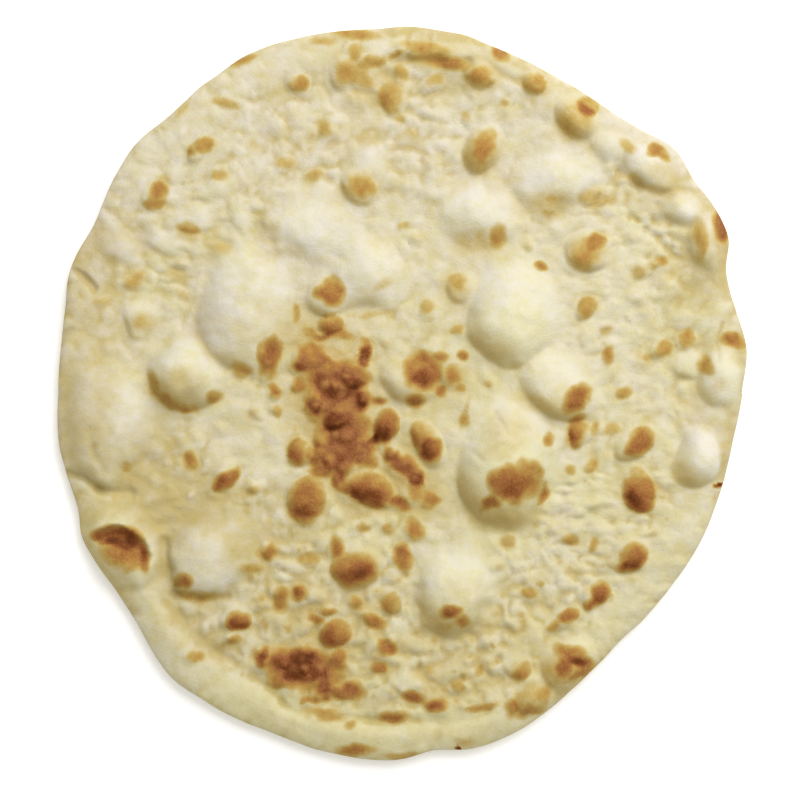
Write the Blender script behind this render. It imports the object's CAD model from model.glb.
# %% [markdown]
# # A blistered flatbread
#
# The real bread is one piece of leavened dough, pulled out by hand and baked on a hot oven wall. The
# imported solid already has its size, its outline and its large blisters. This lesson keeps that form
# and replaces it with a fine surface: small bubbles, creases, a rough underside and browned spots.
# Every place and size below is in millimetres, and becomes metres only when the mesh is made.

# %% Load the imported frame
import math

import bpy
import numpy as np
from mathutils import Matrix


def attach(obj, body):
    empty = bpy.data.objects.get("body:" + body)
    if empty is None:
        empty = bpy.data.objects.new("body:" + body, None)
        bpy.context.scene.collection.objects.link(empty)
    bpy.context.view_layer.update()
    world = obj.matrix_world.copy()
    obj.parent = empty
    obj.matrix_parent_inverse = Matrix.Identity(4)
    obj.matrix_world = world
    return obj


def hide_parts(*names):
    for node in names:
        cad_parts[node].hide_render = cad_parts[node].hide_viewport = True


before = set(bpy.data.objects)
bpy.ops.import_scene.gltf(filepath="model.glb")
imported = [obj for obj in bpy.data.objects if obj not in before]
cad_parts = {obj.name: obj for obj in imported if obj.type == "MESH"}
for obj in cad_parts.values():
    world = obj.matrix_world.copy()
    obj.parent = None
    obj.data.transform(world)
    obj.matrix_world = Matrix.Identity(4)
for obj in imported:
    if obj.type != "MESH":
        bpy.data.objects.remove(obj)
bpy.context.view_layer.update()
MM = 0.001

# %% [markdown]
# ## Chance, but the same each time
#
# Dough is uneven at every scale. Blender's noise textures could push the vertices about, but numbers
# worked out here can also decide where the crust browns. Two helpers are enough: smooth ripples, and
# a scatter of little domes. Both read a seeded table, so the bread is the same bread on every run.
# They are used in layers. A layer of ripples is a height, a length and a seed, and a layer of pebbles is
# a height, a spacing, the smallest and the largest radius, and a seed.

# %% Ripples and pebbles
TABLE_SIDE = 128
LOWEST_PEBBLE, PEBBLE_SKEW = 0.1, 1.5


def eased(share):
    """A share from 0 to 1 that starts and ends gently: 3 * share^2 - 2 * share^3."""
    return share * share * (3 - 2 * share)


def ripple(x, y, length, seed):
    """Smooth chance heights from -1 to 1: numbers on a turned square lattice, blended by smooth steps."""
    table = np.random.default_rng(seed).uniform(-1, 1, (TABLE_SIDE, TABLE_SIDE))
    turned_x = (x * math.cos(seed) - y * math.sin(seed)) / length
    turned_y = (x * math.sin(seed) + y * math.cos(seed)) / length
    column, row = np.floor(turned_x).astype(int), np.floor(turned_y).astype(int)
    along, up = eased(turned_x - column), eased(turned_y - row)

    def corner(i, j):
        return table[(column + i) % TABLE_SIDE, (row + j) % TABLE_SIDE]

    low = corner(0, 0) * (1 - along) + corner(1, 0) * along
    high = corner(0, 1) * (1 - along) + corner(1, 1) * along
    return low * (1 - up) + high * up


def pebbles(x, y, spacing, smallest, largest, seed):
    """Low domes, one in each lattice cell, shifted by chance: the highest (1 - (d / radius)^2)^2."""
    chance = np.random.default_rng(seed)
    shift_x, shift_y = chance.uniform(0, 1, (2, TABLE_SIDE, TABLE_SIDE))
    radius = chance.uniform(smallest, largest, (TABLE_SIDE, TABLE_SIDE))
    rise = chance.uniform(LOWEST_PEBBLE, 1, (TABLE_SIDE, TABLE_SIDE)) ** PEBBLE_SKEW
    column, row = np.floor(x / spacing).astype(int), np.floor(y / spacing).astype(int)
    highest = np.zeros_like(x)
    for i, j in np.ndindex(3, 3):
        near_column, near_row = column + i - 1, row + j - 1
        cell = near_column % TABLE_SIDE, near_row % TABLE_SIDE
        from_x = x - (near_column + shift_x[cell]) * spacing
        from_y = y - (near_row + shift_y[cell]) * spacing
        dome = 1 - (from_x**2 + from_y**2) / radius[cell] ** 2
        highest = np.maximum(highest, rise[cell] * np.clip(dome, 0, None) ** 2)
    return highest


def ripples(x, y, layers):
    """The sum of height * ripple over the layers."""
    return sum(height * ripple(x, y, *rest) for height, *rest in layers)


def scatter(x, y, layers):
    """The sum of height * pebbles over the layers."""
    return sum(height * pebbles(x, y, *rest) for height, *rest in layers)


print("seeded tables of", TABLE_SIDE, "by", TABLE_SIDE, "numbers")

# %% [markdown]
# ## The outline
#
# A bread stretched by hand is nearly round, with flats and corners where fingers pulled. A circle with
# noise would miss them, so the outline is a smooth closed curve through a few radii, each read where
# the edge turns. A Bezier curve could be drawn as well, but a formula gives the radius in any direction,
# which the grid below asks for. A row is a direction in degrees and a radius.

# %% Outline
OUTLINE = [
    (0, 129.7), (7, 132.5), (14, 131.1), (20.5, 131.8), (25.5, 137.8), (31, 138.8), (36, 137.9),
    (42.5, 139.4), (48, 135.4), (55, 133.6), (62, 133.9), (72, 135.8), (82, 138.8), (90, 140),
    (95, 139.3), (105, 140.9), (113, 142.2), (122, 140.2), (130, 138.2), (137, 139.3), (143, 137.4),
    (151, 134.4), (160, 135.6), (168, 132.3), (180, 131.7), (190, 132.6), (199, 131.8), (205, 134.3),
    (214, 133.1), (221, 134.8), (230.5, 140.1), (240, 139.9), (250, 139.5), (262, 140.8), (270, 140),
    (275, 137.4), (281, 138.7), (289, 136.5), (297, 132), (305, 128.3), (311, 126.1), (320, 126.4),
    (335, 127.1), (350, 127.5),
]


def around(pairs, degrees):
    """Value in each direction: cubics through (degrees, value) pairs, with the slopes of their chords."""
    angle, value = np.array(pairs, float).T
    angle = np.concatenate([angle[-2:] - 360, angle, angle[:2] + 360])
    value = np.concatenate([value[-2:], value, value[:2]])
    slope = (value[2:] - value[:-2]) / (angle[2:] - angle[:-2])
    k = np.searchsorted(angle, degrees, side="right") - 1
    span = angle[k + 1] - angle[k]
    t = (degrees - angle[k]) / span
    leave, arrive = slope[k - 1] * span, slope[k] * span
    bend = 2 * (value[k] - value[k + 1]) + leave + arrive
    return value[k] + t * (leave + t * (value[k + 1] - value[k] - leave - bend + t * bend))


print("turns of the outline:", len(OUTLINE))

# %% [markdown]
# ## A disc made of squares
#
# A polar grid would crowd its points in the middle, and a plain square grid has no round edge. The
# concentric map has neither fault: squares round the middle of a square become circles round the
# middle of a disc. Each point is then a share of the radius and a direction. Near the outline the
# points follow a rounded quarter, as the edge of risen dough does.

# %% Disc grid
UPPER_CELLS = 280
EDGE_ROUND, EDGE_FULLNESS = 5, 0.5
# Its length is in degrees of the outline
TORN_EDGE = [(0.3, 4, 11)]


def disc(cells):
    """Share of the radius and direction in radians: the larger of |u| and |v|, turned by their ratio."""
    line = np.linspace(-1, 1, cells + 1)
    u, v = np.meshgrid(line, line)
    share = np.maximum(abs(u), abs(v))
    wide = abs(u) >= abs(v)
    longer, shorter = np.where(wide, u, v), np.where(wide, v, u)
    ratio = shorter / np.where(longer == 0, 1, longer)
    turn = np.where(wide, ratio, 2 - ratio) * math.pi / 4 + np.where(longer < 0, math.pi, 0)
    return share, turn % (2 * math.pi)


def rounded_edge(share, radius, quarter):
    """Distance inside the outline, quarter * (1 - sin slope), and share of the height, a power of cos."""
    inset = (1 - share) * radius
    slope = np.clip(1 - inset / quarter, 0, 1) * math.pi / 2
    return np.where(inset < quarter, quarter * (1 - np.sin(slope)), inset), np.cos(slope) ** EDGE_FULLNESS


def outline_radius(turn):
    """Radius of the outline in each direction, with the small unevenness of a torn edge added."""
    degrees = np.degrees(turn)
    return around(OUTLINE, degrees) + ripples(degrees, 0 * degrees, TORN_EDGE)


share, turn = disc(UPPER_CELLS)
radius = outline_radius(turn)
inset, height_share = rounded_edge(share, radius, EDGE_ROUND)
x, y = (radius - inset) * np.cos(turn), (radius - inset) * np.sin(turn)
print("upper points:", x.size, "cell in mm:", round(2 * radius.mean() / UPPER_CELLS, 2))

# %% [markdown]
# ## Where the blisters are
#
# Steam lifts the skin of the dough into domes. Swells are low and wide, pale blisters lean, full ones
# stand upright, mostly near the edge, and toasted ones are small enough to brown all over. Scattering
# them by chance would give some other bread, so each has a row: x, y, half length, half width, turn in
# degrees and rise above the sheet.

# %% Places of the blisters
SWELLS = [
    (-33, 63, 22, 17, -20, 4.5), (-14, 45, 18, 16, -45, 5), (30.5, 68, 18, 16, 0, 5.5),
    (59.5, 82.5, 18, 15, 15, 5), (-12, 88, 9, 8, 0, 2.4), (14, 78, 9, 8, 0, 2),
    (-70, 76, 10, 6, 20, 2.2), (-108, 56, 11, 9, -30, 2.2),
]
PALE_BLISTERS = [
    (-60.5, 31.5, 24.5, 18.5, 95, 8), (-112, -11, 25, 17, 90, 7), (42, 29, 21, 17.5, 95, 10),
    (39, -27.5, 25.5, 18.5, 90, 12), (59.5, 3, 16, 13, -28, 7), (19.5, -75.5, 18, 15, 85, 10),
    (-74, -62.5, 16.5, 15.5, 10, 8), (-99.5, 28.5, 6.8, 6.2, 90, 3), (3, -111, 7.5, 7, 0, 2.6),
    (77, 93, 8, 6, -20, 2.2), (-61, 67, 7.5, 6, -50, 2), (-78, 66, 8, 5.5, -10, 2.2),
    (-89, 58, 9, 5, -15, 1.8), (109, 11, 6.5, 5, -20, 2.6), (-81.5, -69.5, 8.5, 7.5, 40, 5.5),
]
FULL_BLISTERS = [
    (-82, 8, 14.8, 14, -25, 11.5), (112, -23.5, 12.3, 9.3, 85, 8), (-106.5, -59, 18, 15.5, 80, 7.5),
    (121.5, 7, 11, 8.5, 90, 4.5), (116, 58.5, 12, 7, 100, 4.5), (94.5, 85, 12, 7, -28, 4),
    (107, 71.5, 9, 7, -25, 3.5), (64.5, -103, 12, 10, 10, 5),
]
TOASTED_BLISTERS = [
    (66.5, 105.5, 9, 8.5, 90, 4), (31, 92.5, 10, 8, 80, 5.5), (-15.5, 79, 7.5, 7, 90, 4),
    (70.5, 55, 8.5, 8, 45, 5), (2, 5, 12.5, 10, -15, 5), (-36, -40.5, 10, 7.5, 90, 4.5),
    (-11.5, -37.5, 10.5, 7.5, -12, 4.5), (8.5, -19, 9, 6, -60, 4), (-6.5, -13.5, 7, 5, 65, 4),
    (-18.5, -67, 10, 8.5, 0, 5), (-25.5, -92, 7.5, 6.5, 0, 3.5), (88.5, -20.5, 8, 6.5, 25, 4),
    (90.5, -37, 9.5, 7.5, 75, 3.5), (86, -62, 9, 7.5, 45, 4.5), (73, -75.5, 8, 4.8, 45, 3),
    (60, -84.5, 8.5, 4.8, 28, 2.5), (43.5, -104.6, 6.2, 6.8, 0, 3.2), (50, -117, 10, 6.5, 25, 3),
    (29.5, 120.5, 6.5, 5.2, 0, 3.5), (51, 118, 6.3, 5.5, 0, 3.2), (-28.5, 37.5, 9, 7.5, 0, 4),
    (-27, 27, 5.2, 4.5, 0, 2.6), (66.5, -15, 6.2, 4.5, 65, 2.8), (-31, -1, 6.5, 6, 0, 2.5),
    (-25, -8, 5.8, 5, 0, 3), (-36, 13.5, 5.5, 5, 0, 2.5), (-40.5, -22, 6, 5, 90, 3),
    (-66.5, -33, 8, 4.8, 45, 3), (-62, -87, 6.3, 5.8, 0, 3.2), (-4.5, 112, 7, 6, 90, 3),
    (-21, 121.5, 6.5, 5, 90, 2.6), (-77.5, 94, 6.8, 4.5, 25, 2.6), (-93, 75.5, 7.5, 6, 90, 2.6),
    (70.5, 33, 5.8, 4.5, 70, 2.6), (-4.8, -80, 5.2, 4.5, 90, 2.5), (-39, 118, 4.8, 4.5, 0, 2.2),
    (21.5, 41, 7, 6, 0, 2.8), (-22, 5, 10, 7, 20, 2.2), (-23, -20, 10, 8, 90, 1.8),
    (-38, -102, 11, 6, -5, 2), (-36, 13, 5.2, 5, 0, 2.8), (-32, -1.5, 5.4, 6, 0, 3),
    (-26, -9, 5, 4.6, 0, 3.4), (-19, 4, 4.2, 4.6, 0, 2.8), (-27, 7.5, 3.8, 2.8, -20, 2),
    (-15.5, -3.5, 3.2, 3.8, 0, 2), (-31.5, -17, 3.8, 3.4, 0, 2), (-28, -26, 4.2, 3.8, -30, 2.2),
    (-22, -17, 4, 3.2, 0, 2), (-18, -24, 4.6, 3.6, 0, 2),
]
print("blisters:", len(SWELLS) + len(PALE_BLISTERS) + len(FULL_BLISTERS) + len(TOASTED_BLISTERS))

# %% [markdown]
# ## How the blisters rise
#
# Spheres cut into the sheet would leave hard seams, so a blister is a height instead: an ellipse in
# plan, a rounded dome in section, and a small fillet at its foot. Its skin sags, so that the side away
# from the light is the higher and steeper one. Where blisters overlap, a power sum keeps the higher one
# and softens the valley. The places are moved to and fro first, so that no dome is an exact ellipse.

# %% One blister
BLISTER_STEEPNESS, BLISTER_LEAN, FILLET_LEAN = 0.85, 0.35, 2.4
BLISTER_MELD = 4
LIGHT_SIDE = np.array([0.5, 0.87])


def ellipse(x, y, middle_x, middle_y, half_length, half_width, turn):
    """Squared distance from the middle of a turned ellipse: 0 in the middle, 1 on its outline."""
    angle = math.radians(turn)
    along = (x - middle_x) * math.cos(angle) + (y - middle_y) * math.sin(angle)
    across = (y - middle_y) * math.cos(angle) - (x - middle_x) * math.sin(angle)
    return (along / half_length) ** 2 + (across / half_width) ** 2


def domes(x, y, rows, fillet, lean=BLISTER_LEAN, steepness=BLISTER_STEEPNESS):
    """Powers of the heights of domes, to be summed: rise * (1 - d^2)^steepness, leaning from the light."""
    total = np.zeros_like(x)
    for *place, rise in rows:
        inside = 1 - ellipse(x, y, *place)
        toward_light = ((x - place[0]) * LIGHT_SIDE[0] + (y - place[1]) * LIGHT_SIDE[1]) / place[2]
        toward_light = np.clip(toward_light, -1, 1)
        foot = fillet * (1 + FILLET_LEAN * lean * toward_light)
        soft = (inside + np.sqrt(inside**2 + foot**2)) / 2
        total += (rise * (1 - lean * toward_light) * soft**steepness) ** BLISTER_MELD
    return total


print("blisters lean from the light by", BLISTER_LEAN)

# %% All blisters
SWELL_FILLET, PALE_FILLET, FULL_FILLET, TOASTED_FILLET = 0.02, 0.2, 0.1, 0.06
SWELL_STEEPNESS, FULL_LEAN = 1.7, 0.1
WANDER, WANDER_X, WANDER_Y = 1.1, 8, 9
STRAY_X, STRAY_Y = [(1.5, 14, 21), (0.7, 6, 23)], [(1.5, 14, 22), (0.7, 6, 24)]


def strayed(x, y):
    """The same places moved to and fro: by sines of one another, and by slow and quick ripples."""
    to_x = x + WANDER * np.sin(y / WANDER_Y + np.sin(x / WANDER_X))
    to_y = y + WANDER * np.sin(x / WANDER_X + np.sin(y / WANDER_Y))
    return to_x + ripples(x, y, STRAY_X), to_y + ripples(x, y, STRAY_Y)


def pale_domes(x, y):
    """The same powers for all blisters that stay pale: soft swells, leaning domes and upright ones."""
    swells = domes(x, y, SWELLS, SWELL_FILLET, steepness=SWELL_STEEPNESS)
    full = domes(x, y, FULL_BLISTERS, FULL_FILLET, lean=FULL_LEAN)
    return swells + domes(x, y, PALE_BLISTERS, PALE_FILLET) + full


def blisters_at(x, y):
    """How far the blisters lift the skin: the root of the summed powers at the strayed places."""
    places = strayed(x, y)
    return (pale_domes(*places) + domes(*places, TOASTED_BLISTERS, TOASTED_FILLET)) ** (1 / BLISTER_MELD)


stray_x, stray_y = strayed(x, y)
lift = blisters_at(x, y)
pale_lift = pale_domes(stray_x, stray_y) ** (1 / BLISTER_MELD)
step_x, step_y = LIGHT_SIDE
flank_slope = blisters_at(x + step_x, y + step_y) - blisters_at(x - step_x, y - step_y)
print("highest blister in mm:", round(float(lift.max()), 1))

# %% [markdown]
# ## Browned spots
#
# What stands nearest to the fire browns first, so most spots are the tops of blisters and bubbles. A
# spot is an ellipse again, with a soft edge. Its last number says how far it went: 0.3 is a golden
# tint, 0.5 tan, 0.75 brown, 1 dark brown and 1.3 charred. Painting an image would fix the detail to
# one resolution, and a list of places can be read, changed and reused for the relief. The places were
# chosen by eye. More than half of the last numbers were set by a program that compared the brightness
# of each spot with a photo. First come the marks on pale blisters: caps, patches where the skin tore,
# and bands along feet and rim.

# %% Spots on pale blisters
DOME_SPOTS = [
    (-71, -1, 3.2, 2.6, 20, 0.39), (-104.5, -28.5, 2.6, 1.8, 0, 0.28), (35, 16.5, 7, 5, 20, 0.08),
    (66.4, -2.2, 6.4, 4, 52, 0.74), (-83.5, -71.5, 3.2, 2.8, 0, 0.52),
    (17.5, -82.5, 3.8, 2.4, 0, 0.66), (22, -87, 3, 2.2, -20, 0.44), (36.5, 59.5, 4.2, 3.2, 90, 0.42),
    (57, 73, 3, 2.6, 0, 0.19), (56, 68, 4, 2, 0, 0.2), (7.5, 8.5, 6.8, 7.4, 0, 0.75),
    (14, 13, 2.6, 2.6, 0, 0.52), (5, -3.5, 3.2, 3, 0, 0.52),
]
TORN_SPOTS = [
    (41.5, -34, 9.5, 7, -10, 0.74), (48, -29.5, 5.2, 4.6, 0, 0.59), (33, -41.5, 3.8, 3, 10, 0.58),
    (53.5, -38, 3.4, 2, 80, 0.65),
]
BAND_SPOTS = [
    (-89.5, -66, 10, 1.5, 88, 0.08), (-78, -77.6, 11, 1.7, -2, 0.23), (-94.3, 2.5, 6, 2.1, -65, 0.28),
    (-89.8, -2.6, 5.5, 2.3, -40, 0.34), (-83.5, -5.6, 6, 2, -12, 0.3),
    (115.2, 10.8, 4, 2.4, 110, 0.4), (120, 3, 4, 3, 60, 0.14), (120.5, 63, 6.4, 3, 100, 0.82),
    (113, 58.5, 7, 2.2, 95, 0.36), (112.5, 53, 3.6, 2.6, 60, 0.12), (88, 80.5, 6, 1.8, -30, 0.22),
    (97, 77.5, 6, 1.8, -8, 0.15), (96.5, 91.5, 3, 2.2, -20, 0.74), (99.5, 89.5, 2.2, 1.6, -40, 0.62),
    (85.5, 94, 3.6, 2.6, -40, 0.32), (126.5, 19.5, 4.4, 2.6, 0, 0.68), (-84, 108, 4, 2, 40, 0.23),
    (-61, 126.5, 5.5, 1.8, 22, 0.5), (-18, 136, 8, 2, -5, 0.43), (-30, 133.5, 5, 2, 0, 0.3),
    (37, 129, 4, 3, -35, 0.6), (-18, -136, 6.4, 2.4, 0, 0.56), (13, -130, 2.6, 4, 0, 0.14),
    (120, -36, 1.6, 0.8, 15, 1.1), (21.5, -135.8, 0.9, 0.8, 0, 1.3), (24, -133.5, 3.4, 1.6, -5, 0.24),
    (-1, -138.5, 7, 1.4, 0, 0.36),
]
print("spots on pale blisters:", len(DOME_SPOTS) + len(TORN_SPOTS) + len(BAND_SPOTS))

# %% [markdown]
# ## Toasted tops
#
# A small blister is thin all over, so it browns as a whole and ends at its foot. These rows sit on the
# toasted blisters, often two to a blister: a wide tan one and a darker one where it touched the heat.

# %% Spots on toasted blisters
BLISTER_SPOTS = [
    (31, 93.8, 6.6, 4.4, 70, 0.6), (26, 88, 5, 1.6, -50, 0.16), (-15, 79, 5, 4.8, 0, 0.55),
    (-20, 76, 5, 1.5, -55, 0.17), (65.5, 104.5, 8.4, 8, 0, 0.27), (70.5, 109, 4.8, 4.2, 20, 0.97),
    (52.5, 118.5, 3.6, 3.6, 0, 0.6), (51, 117.5, 6, 5, 0, 0.42), (29.5, 121, 5, 4, 0, 0.49),
    (33, 117, 3, 2.4, 0, 0.33), (73.8, 57, 5.2, 3.4, 45, 0.72), (70, 54, 6.6, 6, 0, 0.44),
    (21, 42, 4.2, 4, 0, 0.39), (-27.5, 38, 5.8, 5.4, 0, 0.78), (-27, 26, 4.6, 3.4, 0, 0.58),
    (71, 33, 5, 4, 75, 0.49), (66.5, -15, 6, 4, 70, 0.61), (90, -19, 5.8, 4.8, 60, 0.74),
    (85, -24, 3, 2.6, 0, 0.08), (91, -38.5, 7.6, 7, 60, 0.78), (90, -31, 4, 3.6, 0, 0.34),
    (88, -62, 5, 4.8, 60, 0.72), (75.5, -76, 4.8, 3.4, 60, 0.7), (72, -79.5, 4, 2, 45, 0.5),
    (63, -85.5, 3.8, 2.2, 25, 0.7), (58.5, -88.5, 4, 1.4, 32, 0.37),
    (45.5, -105.8, 4.6, 3.2, 45, 0.5), (-18.5, -67, 9.2, 6.6, -5, 0.62),
    (-36, -40.5, 9.8, 7.2, 90, 0.68), (-12, -37, 9.8, 7.4, -10, 0.74), (-6, -13, 7, 4.8, 70, 0.72),
    (6.5, -16.5, 6.6, 5.2, -60, 0.49), (10.5, -21.5, 4.4, 4.6, 0, 0.88),
    (-66.5, -32.5, 7, 2.8, 42, 0.66), (-62, -87.8, 4.6, 3.6, 0, 0.77), (-25.5, -92, 6.4, 6, 0, 0.73),
    (-92.5, 78, 5.6, 3.8, 70, 0.58), (-92.5, 71.5, 5, 2.4, -10, 0.4), (-75, 95, 4, 3, 15, 0.62),
    (-80.5, 92, 3.2, 2, 30, 0.36), (-38.5, 119, 3.4, 3.2, 0, 0.55), (-42, 117.5, 3.6, 1.2, 95, 0.2),
    (-40.5, -22, 5.6, 4.8, 90, 0.66), (-41, -16, 3.6, 1.6, 95, 0.65), (-4.5, -80, 4.6, 4, 90, 0.41),
    (-4, -75.5, 2.6, 1.4, 90, 0.34), (-12, 98.5, 4.4, 3, 30, 0.44), (4.5, 98, 2.6, 2.4, 0, 0.52),
    (-99, 27, 4, 3.6, 0, 0.25), (-81, 61, 5, 3, -30, 0.42),
]
print("spots on toasted blisters:", len(BLISTER_SPOTS))

# %% [markdown]
# ## Charred patches
#
# In two places the dough boiled up in many little bubbles that burnt together. One large dark ellipse
# would look like a stain, so a patch is a crowd of smaller ones that overlap and leave gaps.

# %% Spots of the charred patches
CHAR_SPOTS = [
    (-26, 3, 14, 12, 90, 0.7), (-23, -17, 14.5, 11.5, 95, 0.66), (-32, 13, 8, 7.5, 0, 0.62),
    (-38, -105, 15.5, 8, -10, 0.69), (-28, 22, 8.6, 1.7, -3, 0.51), (-36, 14, 5.4, 4.6, 90, 0.64),
    (-14.5, 13.5, 3.6, 3, 90, 0.86), (-14.5, 19, 2.6, 2, 90, 0.35), (-22, 5, 10.5, 7, 10, 0.64),
    (-30, 0, 6.8, 6, 0, 0.5), (-24, -8.5, 6.2, 5.4, 0, 0.68), (-39, 3, 2.6, 2.6, 0, 0.54),
    (-17, -3, 5.2, 5, 0, 0.7), (-23, -20, 10.5, 8.5, 90, 0.58), (-15.5, -22, 5, 5, 0, 0.72),
    (-25, -28, 7, 5, -10, 0.6), (-24, -32, 4, 2.8, 80, 0.65), (-9.5, -3, 2.6, 2, 0, 0.58),
    (-4, -23.5, 4.4, 3, -40, 0.67), (0, -28, 5.2, 4, -40, 0.72), (5, -33, 4.4, 3.2, -40, 0.73),
    (5, -38, 5, 3.4, -20, 0.37), (11, -40.5, 3.6, 3, 0, 0.53), (-50.5, 13.5, 8.8, 3.8, 85, 0.61),
    (-62, 8.5, 4.2, 3, 0, 0.31), (-48, 0, 3, 2.6, 90, 0.58), (-49, -7, 2.2, 2, 0, 0.34),
    (-41, 29, 4, 1.5, 80, 0.45), (-46, -103, 5, 4, 0, 0.74), (-53, -101, 4, 3, 90, 0.7),
    (-33, -107, 6, 4, 0, 0.7), (-44, -109.5, 8, 3.2, -3, 0.62), (-25, -102, 4, 3.4, 0, 0.6),
    (-30, -112, 4, 4, 0, 0.71), (-20, -113, 5, 3.6, 0, 0.61), (-35, -116, 3, 1.5, 0, 0.52),
    (-30, -121.5, 7, 2.4, -3, 0.36), (49, -115, 9, 6, 20, 0.26), (54.5, -115, 4, 3, 40, 0.53),
    (47.5, -121, 5, 2.4, 12, 0.41), (41, -120, 3.4, 3, 0, 0.47), (-33.5, -5, 4, 5.5, 0, 0.66),
    (-32, -24, 4.5, 5, 0, 0.55), (-31, -30, 4, 3.6, 0, 0.6), (-14, -25, 4.4, 3.6, 0, 0.62),
    (-21.5, -36, 3.5, 2.6, 0, 0.44), (-38.5, 11, 3.6, 3.6, 0, 0.6), (-24.5, -113.5, 5, 2.2, -5, 0.6),
]
print("spots of the charred patches:", len(CHAR_SPOTS))

# %% [markdown]
# ## Scattered spots
#
# Between the blisters, the sheet is full of bubbles a few millimetres wide. Those that browned are
# listed here, and each of them lifts the sheet as well, a little further on.

# %% Scattered spots
SMALL_SPOTS = [
    (-25, -60, 5, 3, 105, 0.63), (0, -62.5, 5, 3, -75, 0.6), (4.5, -52, 5, 3.4, -65, 0.57),
    (-30, 101, 3.9, 3, 90, 0.29), (-45, 88, 4, 2.8, 20, 0.3), (-33.5, 83, 3.8, 2.5, 0, 0.34),
    (-70, 82, 3.2, 2, 0, 0.3), (-67, 109.8, 4.6, 1.8, -12, 0.38), (-69.5, 55, 4, 3, 0, 0.21),
    (0, 63.5, 2, 1.8, 0, 0.27), (6, 59.5, 4, 2.5, 0, 0.12), (-1, 104, 2.6, 2.4, 0, 0.3),
    (12, 118.5, 3.6, 3, 0, 0.3), (24, 105, 2.6, 2.2, 0, 0.21), (38.5, 110, 2, 1.8, 0, 0.24),
    (15, 80.5, 3, 2.4, 0, 0.17), (52, 48, 2, 1.6, 0, 0.72), (47, 56, 2.2, 2, 0, 0.19),
    (98.5, 50, 2.2, 1.8, 0, 0.44), (95, 48, 2.6, 2, 0, 0.25), (-103, 42.5, 4, 3, 40, 0.3),
    (-101, 45, 2.6, 1.6, 0, 0.19), (-114, 34.5, 3, 2.4, 0, 0.22), (-87, 44.5, 4, 2.4, 0, 0.22),
    (-84, 38, 4, 2.4, -30, 0.2), (-81, -26, 3.6, 2.6, 105, 0.52), (-57, -8.5, 3.6, 2.8, -40, 0.16),
    (-57, -37, 3, 2, 0, 0.3), (19, 6, 4, 3.6, 90, 0.58), (14, 0.5, 2, 2, 0, 0.57),
    (22, 1.5, 2, 1.6, 0, 0.45), (22, 13.5, 1.6, 1.5, 0, 0.69), (24, -7.5, 5.5, 1.3, 70, 0.31),
    (9.5, 33, 3.2, 2.4, 35, 0.33), (21, 24.5, 2.6, 2, 20, 0.29), (-6.5, 19, 2.2, 2, 0, 0.15),
    (33, 3, 1.7, 1.5, 0, 0.26), (-7, 41, 4, 2.4, 20, 0.2), (78, 24.5, 2.6, 2, 0, 0.27),
    (78, 14, 3.5, 1.6, 68, 0.44), (98.8, 16.2, 3.7, 2.5, 42, 0.42), (96.5, 14.8, 2, 1.4, 20, 0.11),
    (93, 13.5, 2, 1.5, 0, 0.29), (107.9, 20.3, 3.5, 3, 90, 0.44), (84.5, 0, 3.2, 2.3, 30, 0.45),
    (56, -17.5, 2.6, 2, 80, 0.59), (80, -14, 3, 2, 20, 0.26), (73.5, -13.5, 2.4, 1.5, 70, 0.44),
    (72, -27.5, 3, 1.8, 60, 0.33), (64, -29, 2, 1.8, 0, 0.33), (64, -55.5, 2.6, 2, 0, 0.37),
    (73, -58, 2.6, 1.6, 55, 0.43), (95, -54, 3, 1.5, 20, 0.15), (48, -76.5, 3.2, 2, 0, 0.38),
    (40, -57, 3, 2.6, 0, 0.33), (37, -67, 2.2, 2, 0, 0.2), (-51.5, -60.5, 3.6, 3.4, 0, 0.59),
    (-57, -67, 5.4, 2.2, 0, 0.36), (-64, -95, 2.6, 2, 0, 0.48), (-79, -101, 3, 2.5, 0, 0.34),
    (-15, -51, 2.8, 2, 0, 0.43), (-6, -52, 2, 2, 0, 0.38), (-36, -63.5, 3.6, 2, 0, 0.4),
    (-39, -76.5, 3.6, 3.2, 0, 0.75), (-46, -79, 4.8, 3, 90, 0.53), (-18, -80, 3.2, 2.4, -35, 0.43),
    (-11, -87, 4.8, 2.6, -25, 0.65), (-33, -86, 3, 1.9, -20, 0.62), (-28, -83, 2.6, 1.4, 0, 0.5),
    (-6, -97, 3, 2.5, 0, 0.8), (-9, -105, 3, 2.8, 0, 0.67), (4, -116, 4.2, 2.3, 0, 0.55),
    (13, -118.5, 4.2, 2.3, -5, 0.78), (-4, -123.5, 5.6, 2.6, -3, 0.69), (30, -120, 5, 1.4, 15, 0.51),
    (21, -112, 3, 2, 0, 0.37), (-20, -126, 2.2, 1.8, 0, 0.33), (-2, -42, 4.6, 2.2, -30, 0.75),
    (-11, -18, 3.4, 1.7, 35, 0.88), (-21, 122, 5.2, 4.6, 90, 0.55), (-18, 129, 4, 3, 70, 0.32),
    (-14, 119, 6, 5, 0, 0.33), (-11.5, 125, 5, 2.6, 25, 0.48), (-5, 113, 6, 5.4, 90, 0.51),
    (-5, 107.5, 4, 3, 90, 0.1), (-0.5, 121.5, 3.4, 2.8, 75, 0.38), (15.5, 126, 9.5, 2.6, -10, 0.54),
    (8, 131, 9, 2.5, -8, 0.42), (-2.2, 128, 2.8, 1.2, 15, 0.45), (72.5, 75.5, 5.5, 3.6, 10, 0.26),
    (77.5, 73, 3.4, 2.2, 0, 0.22), (23.6, -10, 2.2, 2.8, -20, 0.42), (90, 45.5, 3.2, 2.8, 0, 0.26),
    (7, 127.8, 5.5, 1.7, -3, 0.36),
]
print("scattered spots:", len(SMALL_SPOTS))

# %% [markdown]
# ## Dark cores
#
# The darkest marks lie inside lighter ones: the burnt tops of some blisters, the slit in a split one
# and the roof of the sunken crown. Two gaps in the browning stayed pale, and they are rows as well.

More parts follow.
